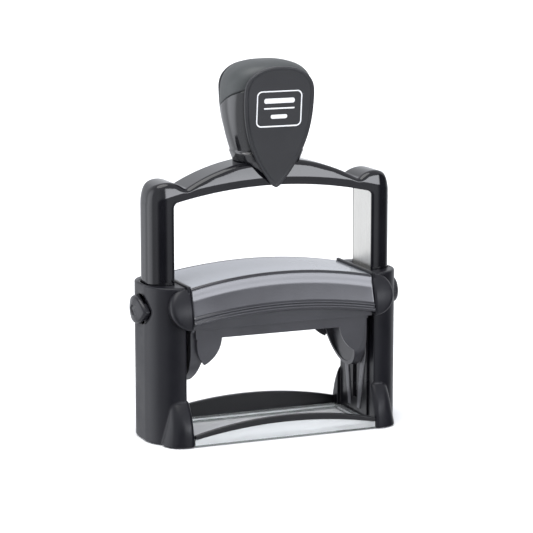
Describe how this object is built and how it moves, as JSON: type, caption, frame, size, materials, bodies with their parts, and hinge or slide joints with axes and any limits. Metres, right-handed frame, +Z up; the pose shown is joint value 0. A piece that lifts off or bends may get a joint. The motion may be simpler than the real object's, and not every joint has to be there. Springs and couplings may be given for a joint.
{
  "type": "self inking stamp",
  "caption": "Self inking stamp: a sprung bow with a knob slides in two towers and turns the text plate over from the ink pad to the paper.",
  "frame": {"origin": "centre of the box that holds the part, on the floor", "axes": "+Z up, +X to the stamp's right along the text plate, the front with the clear window faces -Y"},
  "size_m": [0.1102, 0.0442, 0.1443],
  "materials": {
    "tower_black": "satin",
    "cam_plastic": "satin",
    "clear_window": "clear acrylic, polished",
    "base_black": "satin",
    "foot_rubber": "matte",
    "holder_plastic": "satin",
    "cover_silver": "light grey, glossy",
    "trim_gunmetal": "metallic gunmetal lacquer",
    "steel": "bright",
    "bow_black": "piano gloss",
    "core_plate": "nickel plated steel",
    "grip_grey": "soft touch, matte",
    "shield_grey": "fine matte",
    "bearing_brass": "turned",
    "foam": "closed cell foam",
    "stamp_rubber": "matte",
    "felt": "inked felt"
  },
  "bodies": {
    "housing": {"tower_shell_left": "tower_black", "tower_shell_right": "tower_black", "beam_end_left": "tower_black", "beam_end_right": "tower_black", "guide_bush_left": "tower_black", "guide_bush_right": "tower_black", "cam_plate_left": "cam_plastic", "cam_plate_right": "cam_plastic", "base_window": "clear_window", "base_front_rail": "base_black", "base_rear_bar": "base_black", "rubber_feet": "foot_rubber", "pad_housing": "holder_plastic", "beam_top_cover": "cover_silver", "trim_front": "trim_gunmetal", "trim_rear": "trim_gunmetal", "housing_screws": "steel", "guide_rod_left": "steel", "guide_rod_right": "steel", "return_spring_left": "steel", "return_spring_right": "steel", "button_spring_left": "steel", "button_spring_right": "steel"},
    "bow": {"bow_shell": "bow_black", "bow_core": "core_plate", "knob_body": "bow_black", "knob_grip": "grip_grey", "knob_shield_front": "shield_grey", "knob_shield_rear": "shield_grey", "knob_screw": "steel", "pivot_bearing_left": "bearing_brass", "pivot_bearing_right": "bearing_brass", "spring_seats": "steel"},
    "holder": {"die_carrier": "holder_plastic", "foam_backing": "foam", "text_rubber": "stamp_rubber", "pivot_pins": "steel"},
    "cartridge": {"pad_tray": "holder_plastic", "ink_felt": "felt"},
    "button_left": {"lock_button_left": "bow_black", "lock_bolt_left": "steel"},
    "button_right": {"lock_button_right": "bow_black", "lock_bolt_right": "steel"}
  },
  "joints": [
    {"name": "press", "type": "slide", "parent": "housing", "child": "bow", "axis": [0, 0, -1], "range_m": [0, 0.03], "stiffness_N_per_m": 300, "springref_m": -0.03, "deforming": ["return_spring_left", "return_spring_right"]},
    {"name": "plate_flip", "type": "hinge", "parent": "bow", "child": "holder", "pos_m": [0, 0, 0.04], "axis": [1, 0, 0], "range_deg": [0, 180]},
    {"name": "cartridge_out", "type": "slide", "parent": "housing", "child": "cartridge", "axis": [0, 1, 0], "range_m": [0, 0.04]},
    {"name": "button_left_press", "type": "slide", "parent": "housing", "child": "button_left", "axis": [1, 0, 0], "range_m": [0, 0.0012], "stiffness_N_per_m": 500, "springref_m": -0.002, "deforming": ["button_spring_left"]},
    {"name": "button_right_press", "type": "slide", "parent": "housing", "child": "button_right", "axis": [-1, 0, 0], "range_m": [0, 0.0012], "stiffness_N_per_m": 500, "springref_m": -0.002, "deforming": ["button_spring_right"]}
  ],
  "couplings": [
    {"joint": "plate_flip", "follows": "press", "rad_per_m": 104.72}
  ]
}
